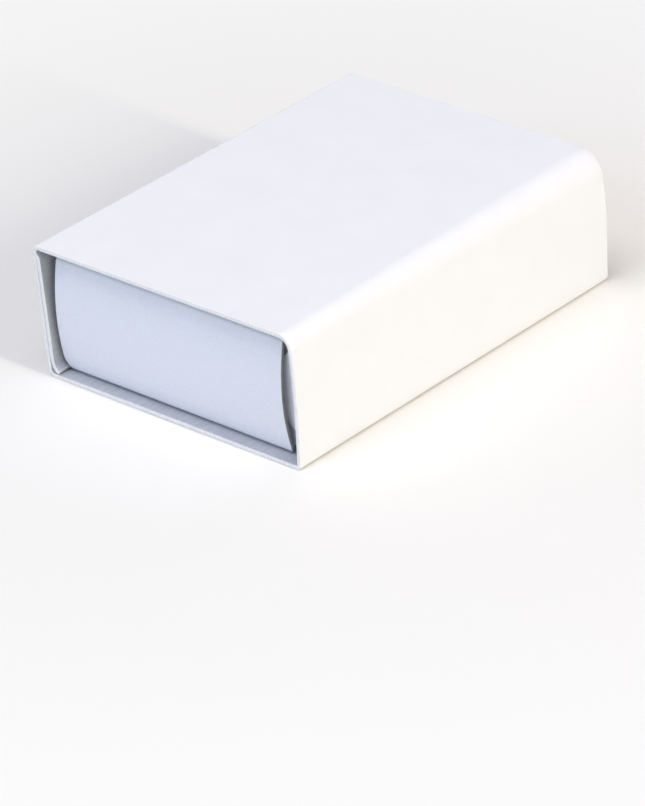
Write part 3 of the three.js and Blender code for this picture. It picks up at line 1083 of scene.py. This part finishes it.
@dataclass
class Matches:
    """The matches lying in the tray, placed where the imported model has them."""

    splint: float = 1.9
    head_radius: float = 1.4
    head_length: float = 3.6
    head_fullness: float = 0.6
    head_sides: int = 14
    head_rings: int = 10
    corner: float = 0.12
    roll: float = 3.0  # neighbours would touch if they were turned further
    end_slice: float = 0.2  # points of a match this near to its end are the end
    seed: int = 11

    def _prototype(self, length: float, finishes: Sequence[Material]) -> Object:
        """One match along -Y, from the middle of its tail.

        Args:
            length: Length of the match.
            finishes: Materials of the splint and of the head.

        Returns:
            The match.
        """
        work = bmesh.new()
        head_start = length - self.head_length
        reach = head_start + self.head_length / 2
        size = Vector((self.splint, reach, self.splint)) * MM
        place = Matrix.Translation((0, -reach * MM / 2, 0)) @ Matrix.Diagonal((*size, 1))
        bmesh.ops.create_cube(work, size=1.0, matrix=place)
        bmesh.ops.bevel(work, geom=list(work.edges), offset=self.corner * MM, segments=1, affect="EDGES")
        rings = []
        for ring in range(1, self.head_rings):
            angle = math.pi * (1 - ring / self.head_rings)
            along = head_start + self.head_length / 2 * (1 + math.cos(angle))
            radius = self.head_radius * math.sin(angle) ** self.head_fullness
            turns = [2 * math.pi * k / self.head_sides for k in range(self.head_sides)]
            rings.append([work.verts.new(Vector((radius * math.cos(t), -along, radius * math.sin(t))) * MM)
                          for t in turns])
        head = []
        for near, far in zip(rings, rings[1:]):
            for k in range(self.head_sides):
                after = (k + 1) % self.head_sides
                head.append(work.faces.new((near[k], near[after], far[after], far[k])))
        for ring, along in ((rings[0], head_start), (rings[-1], length)):
            pole = work.verts.new((0, -along * MM, 0))
            for k in range(self.head_sides):
                head.append(work.faces.new((pole, ring[k], ring[(k + 1) % self.head_sides])))
        for face in head:
            face.material_index = 1
            face.smooth = True
        bmesh.ops.recalc_face_normals(work, faces=work.faces)
        # Faces added after a bevel take the places that it freed, in an order that changes from run to run
        by_centre = sorted(work.faces, key=lambda face: tuple(face.calc_center_median()))
        ranks = {face: rank for rank, face in enumerate(by_centre)}
        work.faces.sort(key=ranks.get)
        match = drawn_piece("one_match", work)
        for finish in finishes:
            match.data.materials.append(finish)
        return match

    def _scatter_tree(self) -> NodeTree:
        """Tree that lays a match on each point, rolled a little and with a tone of its own.

        Returns:
            The tree, with inputs Match, Roll, Seed, Splint Material and Head Material.
        """
        tree, given = modifier_tree("matches_laid", {
            "Match": "NodeSocketObject", "Roll": "NodeSocketFloat", "Seed": "NodeSocketInt",
            "Splint Material": "NodeSocketMaterial", "Head Material": "NodeSocketMaterial"})
        match = add_node(tree, "GeometryNodeObjectInfo", inputs={"Object": given["Match"]})
        turn = add_node(tree, "GeometryNodeInputNamedAttribute", {"data_type": "FLOAT_VECTOR"}, {"Name": "turn"})
        facing = add_node(tree, "FunctionNodeEulerToRotation", inputs={0: turn.outputs[0]}).outputs[0]
        opposite = add_node(tree, "ShaderNodeMath", {"operation": "MULTIPLY"}, {
            0: given["Roll"], 1: -1.0}).outputs[0]
        rolled = add_node(tree, "FunctionNodeRandomValue", {"data_type": "FLOAT"}, {
            RANDOM_LOW: opposite, RANDOM_HIGH: given["Roll"],
            "Seed": given["Seed"]}).outputs[RANDOM_RESULT]
        euler = add_node(tree, "ShaderNodeCombineXYZ", inputs={"Y": rolled}).outputs[0]
        twist = add_node(tree, "FunctionNodeEulerToRotation", inputs={0: euler}).outputs[0]
        whole = add_node(tree, "FunctionNodeRotateRotation", {"rotation_space": "LOCAL"}, {
            0: facing, 1: twist}).outputs[0]
        laid = add_node(tree, "GeometryNodeInstanceOnPoints", inputs={
            "Points": given["Geometry"], "Instance": match.outputs["Geometry"], "Rotation": whole})
        tone = add_node(tree, "FunctionNodeRandomValue", {"data_type": "FLOAT"}, {
            RANDOM_LOW: 0.0, RANDOM_HIGH: 1.0, "Seed": given["Seed"]}).outputs[RANDOM_RESULT]
        toned = add_node(tree, "GeometryNodeStoreNamedAttribute", {"data_type": "FLOAT", "domain": "INSTANCE"}, {
            "Geometry": laid.outputs[0], "Name": "tone", "Value": tone}).outputs[0]
        real = add_node(tree, "GeometryNodeRealizeInstances", inputs={"Geometry": toned}).outputs[0]
        index = add_node(tree, "GeometryNodeInputMaterialIndex").outputs[0]
        dressed = real
        for number, name in enumerate(("Splint Material", "Head Material")):
            chosen = add_node(tree, "FunctionNodeCompare", {"data_type": "INT", "operation": "EQUAL"}, {
                WHOLE_A: index, WHOLE_B: number}).outputs[0]
            dressed = add_node(tree, "GeometryNodeSetMaterial", inputs={
                "Geometry": dressed, "Selection": chosen, "Material": given[name]}).outputs[0]
        add_node(tree, "NodeGroupOutput", inputs={"Geometry": dressed})
        return tree

    def build(self, nodes: Sequence[Object], finishes: Sequence[Material]) -> Object:
        """Lay all the matches.

        Args:
            nodes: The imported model's matches.
            finishes: Materials of the splint and of the head.

        Returns:
            All matches as one piece.
        """
        tails, turns, length = [], [], 0.0
        for node in nodes:
            places = [vertex.co for vertex in node.data.vertices]
            tail = self._middle(places, max(p.y for p in places))
            tip = self._middle(places, min(p.y for p in places))
            tails.append(tail)
            turns.extend((tip - tail).to_track_quat("-Y", "Z").to_euler())
            length = (tip - tail).length / MM
        points = bpy.data.meshes.new("match_points")
        points.from_pydata(tails, [], [])
        points.attributes.new("turn", "FLOAT_VECTOR", "POINT").data.foreach_set("vector", turns)
        piece = new_piece("laid_matches", points)
        prototype = self._prototype(length, finishes)
        run_tree(piece, self._scatter_tree(), {
            "Match": prototype, "Roll": math.radians(self.roll), "Seed": self.seed,
            "Splint Material": finishes[0], "Head Material": finishes[1]})
        bpy.data.objects.remove(prototype)
        return piece

    def _middle(self, places: Sequence[Vector], y: float) -> Vector:
        """Middle of the points that lie at one end of a match.

        Args:
            places: Points of the match.
            y: Where the end is.

        Returns:
            The middle of those points.
        """
        near = [place for place in places if abs(place.y - y) < self.end_slice * MM]
        columns = list(zip(*near))
        return Vector([(min(column) + max(column)) / 2 for column in columns])


@dataclass
class StrikingStrip:
    """The friction coat on the lapped side: a thin film with a close pattern of printed dots."""

    sleeve: Sleeve
    coat: float = 0.12
    height: float = 9.6
    base: float = 3.1
    end_margin: float = 1.5
    seat: float = 0.01
    pitch: float = 0.75
    dot_radius: float = 0.27
    dot_rise: float = 0.09
    dot_margin: float = 1.3  # from the film's edge to the middle of the first dots, in radii of a dot
    dot_sizes: tuple[float, float] = (0.9, 1.08)  # smallest and largest, as a share of the plain dot
    dot_sides: int = 8
    dot_rings: int = 5
    edge_round: float = 0.3  # of the film's edges, as a share of its thickness
    seed: int = 5

    def _dot_tree(self) -> NodeTree:
        """Tree that prints staggered rows of low dots on a film.

        Returns:
            The tree, with inputs Columns, Rows, Pitch, Row Pitch, Dot Radius, Dot Flatness, Seed and Material.
        """
        tree, given = modifier_tree("friction_dots", {
            "Columns": "NodeSocketInt", "Rows": "NodeSocketInt", "Pitch": "NodeSocketFloat",
            "Row Pitch": "NodeSocketFloat", "Dot Radius": "NodeSocketFloat", "Dot Flatness": "NodeSocketFloat",
            "Seed": "NodeSocketInt", "Material": "NodeSocketMaterial"})
        rows = given["Rows"]
        grid = add_node(tree, "GeometryNodeMeshGrid", inputs={"Vertices X": given["Columns"],
                                                             "Vertices Y": rows})
        column, row = grid_place(tree, rows)
        odd = add_node(tree, "ShaderNodeMath", {"operation": "MODULO"}, {0: row, 1: 2.0}).outputs[0]
        stagger = add_node(tree, "ShaderNodeMath", {"operation": "MULTIPLY_ADD"}, {
            0: odd, 1: 0.5, 2: column}).outputs[0]
        y = add_node(tree, "ShaderNodeMath", {"operation": "MULTIPLY"}, {
            0: stagger, 1: given["Pitch"]}).outputs[0]
        z = add_node(tree, "ShaderNodeMath", {"operation": "MULTIPLY"}, {
            0: row, 1: given["Row Pitch"]}).outputs[0]
        spot = add_node(tree, "ShaderNodeCombineXYZ", inputs={"Y": y, "Z": z}).outputs[0]
        spread = add_node(tree, "GeometryNodeSetPosition", inputs={
            "Geometry": grid.outputs["Mesh"], "Position": spot}).outputs[0]
        ball = add_node(tree, "GeometryNodeMeshUVSphere", inputs={
            "Segments": self.dot_sides, "Rings": self.dot_rings, "Radius": given["Dot Radius"]}).outputs["Mesh"]
        size = add_node(tree, "FunctionNodeRandomValue", {"data_type": "FLOAT"}, {
            RANDOM_LOW: self.dot_sizes[0], RANDOM_HIGH: self.dot_sizes[1],
            "Seed": given["Seed"]}).outputs[RANDOM_RESULT]
        flat = add_node(tree, "ShaderNodeMath", {"operation": "MULTIPLY"}, {
            0: size, 1: given["Dot Flatness"]}).outputs[0]
        scale = add_node(tree, "ShaderNodeCombineXYZ", inputs={"X": flat, "Y": size, "Z": size}).outputs[0]
        dots = add_node(tree, "GeometryNodeInstanceOnPoints", inputs={
            "Points": spread, "Instance": ball, "Scale": scale}).outputs[0]
        joined = add_node(tree, "GeometryNodeJoinGeometry", inputs={0: dots})
        tree.links.new(given["Geometry"], joined.inputs[0])
        close_tree(tree, joined.outputs[0], given["Material"])
        return tree

    def build(self, finish: Material) -> Object:
        """Print the strip on the lapped side.

        Args:
            finish: Its material.

        Returns:
            The strip.
        """
        length = self.sleeve.length - 2 * self.end_margin
        row_pitch = self.pitch * math.sqrt(3) / 2
        margin = self.dot_radius * self.dot_margin
        columns = int((length - 2 * margin - self.pitch / 2) / self.pitch) + 1
        rows = int((self.height - 2 * margin) / row_pitch) + 1
        face = -self.sleeve.stock.thickness / 2 - self.seat
        # The dots' own middle is brought to the middle of the film afterwards
        dots = Vector((0, ((columns - 1) + 0.5) * self.pitch, (rows - 1) * row_pitch)) / 2
        film = bmesh.new()
        bmesh.ops.create_cube(film, size=1.0, matrix=Matrix.Translation(dots * MM + Vector((self.coat / 2 * MM, 0, 0)))
                              @ Matrix.Diagonal((self.coat * MM, length * MM, self.height * MM, 1)))
        rounding = self.coat * self.edge_round * MM
        bmesh.ops.bevel(film, geom=list(film.edges), offset=rounding, segments=2, affect="EDGES")
        piece = drawn_piece("friction_strip", film)
        run_tree(piece, self._dot_tree(), {
            "Columns": columns, "Rows": rows, "Pitch": self.pitch * MM, "Row Pitch": row_pitch * MM,
            "Dot Radius": self.dot_radius * MM, "Dot Flatness": self.dot_rise / self.dot_radius,
            "Seed": self.seed, "Material": finish})
        for polygon in piece.data.polygons:
            polygon.use_smooth = True
        # The film's outer face was made at x = 0, and now follows the tilt of the lapped side
        shift = Vector((face - self.coat, 0, self.base + self.height / 2)) - dots
        move_points(piece.data, lambda co: co + shift * MM)
        move_points(piece.data, lambda co: co + Vector((self.sleeve.outer_ply(co.z / MM) * MM, 0, 0)))
        self.sleeve.lean.apply(piece.data)
        return piece


# The studio


@dataclass(frozen=True)
class StudioView:
    """Camera at the photograph's viewing angle. Its pan is how far the box's foot lies off the picture's middle."""

    azimuth: float = 41.625
    elevation: float = 28.878
    roll: float = -2.888
    pan_right: float = 0.623
    pan_up: float = 8.363
    distance: float = 550.36
    focal_pixels: float = 5078.5
    sensor: float = 36.0
    clip: tuple[float, float] = (10.0, 20000.0)  # nearest and farthest that it sees

    def build(self) -> Object:
        """Make the camera and let the scene use it.

        Returns:
            The camera.
        """
        azimuth, roll = math.radians(self.azimuth), math.radians(self.roll)
        back = direction(self.azimuth, self.elevation)
        level = Vector((math.cos(azimuth), math.sin(azimuth), 0))
        upright = back.cross(level)
        right = level * math.cos(roll) + upright * math.sin(roll)
        up = upright * math.cos(roll) - level * math.sin(roll)
        centre = back * self.distance - right * self.pan_right - up * self.pan_up
        data = bpy.data.cameras.new("studio_camera")
        data.sensor_width = self.sensor
        data.lens = self.focal_pixels * self.sensor / max(IMAGE_WIDTH, IMAGE_HEIGHT)
        data.clip_start, data.clip_end = (limit * MM for limit in self.clip)
        camera = new_piece("studio_camera", data)
        camera.matrix_world = Matrix((
            (right.x, up.x, back.x, centre.x * MM), (right.y, up.y, back.y, centre.y * MM),
            (right.z, up.z, back.z, centre.z * MM), (0, 0, 0, 1)))
        bpy.context.scene.camera = camera
        return camera


@dataclass(frozen=True)
class SoftBox:
    """An area lamp that points at the box."""

    name: str
    azimuth: float
    elevation: float
    distance: float
    width: float
    height: float
    watts: float
    colour: str

    def build(self) -> None:
        """Make the lamp."""
        way = direction(self.azimuth, self.elevation)
        data = bpy.data.lights.new(self.name, "AREA")
        data.shape = "RECTANGLE"
        data.size, data.size_y = self.width * MM, self.height * MM
        data.energy = self.watts
        data.color = linear(self.colour)[:3]
        lamp = new_piece(self.name, data)
        turn = way.to_track_quat("Z", "Y").to_matrix().to_4x4()
        lamp.matrix_world = Matrix.Translation(way * self.distance * MM) @ turn


@dataclass(frozen=True)
class Studio:
    """Pale floor, white surroundings and soft lamps."""

    floor_colour: str = "#F8F6EE"
    floor_cloud: str = "#F5F3EB"
    cloud_size: float = 60.0
    floor_roughness: float = 0.9
    floor_ior: float = 1.45
    floor_radius: float = 1500.0
    floor_sides: int = 96
    floor_drop: float = 0.05
    fade_start: float = 45.0
    fade_end: float = 150.0
    ambient: float = 0.27
    ambient_colour: str = "#F7F7FF"
    lamps: tuple[SoftBox, ...] = (
        SoftBox("key_lamp", azimuth=88.2, elevation=24, distance=900, width=40, height=380, watts=3.93,
                colour="#FFFAEE"),
        SoftBox("front_lamp", azimuth=-14, elevation=34, distance=1100, width=600, height=600, watts=3.83,
                colour="#C1DEFF"),
        SoftBox("top_lamp", azimuth=0, elevation=76, distance=1000, width=700, height=700, watts=5.22,
                colour="#FBF5FF"),
    )

    def build(self) -> None:
        """Lay the floor, set the surroundings and hang the lamps."""
        self._floor()
        self._surroundings()
        for lamp in self.lamps:
            lamp.build()

    @staticmethod
    def _seen(tree: NodeTree) -> NodeSocket:
        """1 for camera, glossy and transmission rays, and 0 for what lights the scene.

        Args:
            tree: Node tree of the surroundings.

        Returns:
            Output socket of the value.
        """
        path = add_node(tree, "ShaderNodeLightPath")
        seen = path.outputs["Is Camera Ray"]
        for ray in ("Is Glossy Ray", "Is Transmission Ray"):
            seen = add_node(tree, "ShaderNodeMath", {"operation": "MAXIMUM"}, {
                0: seen, 1: path.outputs[ray]}).outputs[0]
        return seen

    def _floor(self) -> None:
        """Lay a pale floor that keeps the box's shadow and fades to white far from it."""
        work = bmesh.new()
        bmesh.ops.create_circle(work, cap_ends=True, segments=self.floor_sides, radius=self.floor_radius * MM,
                                matrix=Matrix.Translation((0, 0, -self.floor_drop * MM)))
        floor = drawn_piece("studio_floor", work)
        surface = Surface("studio_floor", self.floor_roughness, self.floor_ior)
        surface.colour(surface.tint(self.floor_colour, self.floor_cloud, surface.noise(self.cloud_size)))
        tree = surface.tree
        away = add_node(tree, "ShaderNodeVectorMath", {"operation": "LENGTH"}, {0: surface.place}).outputs["Value"]
        fade = surface.between(away, self.fade_start * MM, self.fade_end * MM)
        share = add_node(tree, "ShaderNodeMath", {"operation": "MULTIPLY"}, {0: fade, 1: self._seen(tree)}).outputs[0]
        white = add_node(tree, "ShaderNodeEmission", inputs={"Strength": 1.0}).outputs[0]
        mixed = add_node(tree, "ShaderNodeMixShader", inputs={0: share, 1: surface.shader.outputs[0], 2: white})
        output = next(node for node in tree.nodes if node.type == "OUTPUT_MATERIAL")
        tree.links.new(mixed.outputs[0], output.inputs["Surface"])
        floor.data.materials.append(surface.material)

    def _surroundings(self) -> None:
        """Light the scene softly from all round, and show plain white behind it."""
        world = bpy.data.worlds.new("studio")
        world.use_nodes = True
        tree = world.node_tree
        tree.nodes.clear()
        light = add_node(tree, "ShaderNodeBackground", inputs={
            "Color": linear(self.ambient_colour), "Strength": self.ambient}).outputs[0]
        white = add_node(tree, "ShaderNodeBackground", inputs={
            "Color": (1.0, 1.0, 1.0, 1.0), "Strength": 1.0}).outputs[0]
        mixed = add_node(tree, "ShaderNodeMixShader", inputs={0: self._seen(tree), 1: light, 2: white}).outputs[0]
        add_node(tree, "ShaderNodeOutputWorld", inputs={"Surface": mixed})
        bpy.context.scene.world = world


def main() -> None:
    """Build the box piece by piece, then the studio around it."""
    logging.basicConfig(level=logging.INFO, format="%(name)s: %(message)s")
    bpy.context.scene.view_settings.view_transform = "Standard"

    cut, glue = CutBoard().make("cut_board"), DriedGlue().make("dried_glue")
    sleeve = Sleeve()
    # The sleeve's inside gets a grey that is partly the board's back and partly painted shade
    card = sleeve.build([CoatedBoard().make("coated_board"), PulpBoard().make("board_back"), cut, glue])
    hand_over(card, "sleeve_body", ["sleeve"])

    strip = StrikingStrip(sleeve).build(FrictionCoat().make("friction_coat"))
    hand_over(strip, "sleeve_body", ["striking_strip"])

    tray_board = PulpBoard(colour="#E9EBF2", fibre="#E2E5EC", fleck="#D7D9DF").make("tray_board")
    # The tray's cut edges are painted dark grey as shade, standing for the shadowed gap beside the tray's end, not a
    # grey core
    grey_core = CutBoard(colour="#A6A8A6", layer="#989A97").make("grey_core")
    tray = Tray(sleeve).build([tray_board, tray_board, grey_core])
    hand_over(tray, "tray_body", ["tray"])

    names = sorted(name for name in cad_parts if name.startswith("match_"))
    matches = Matches().build([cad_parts[name] for name in names],
                              [Aspen().make("aspen"), DippedHead().make("dipped_head")])
    hand_over(matches, "tray_body", names)

    Studio().build()
    StudioView().build()


if __name__ == "__main__":
    main()
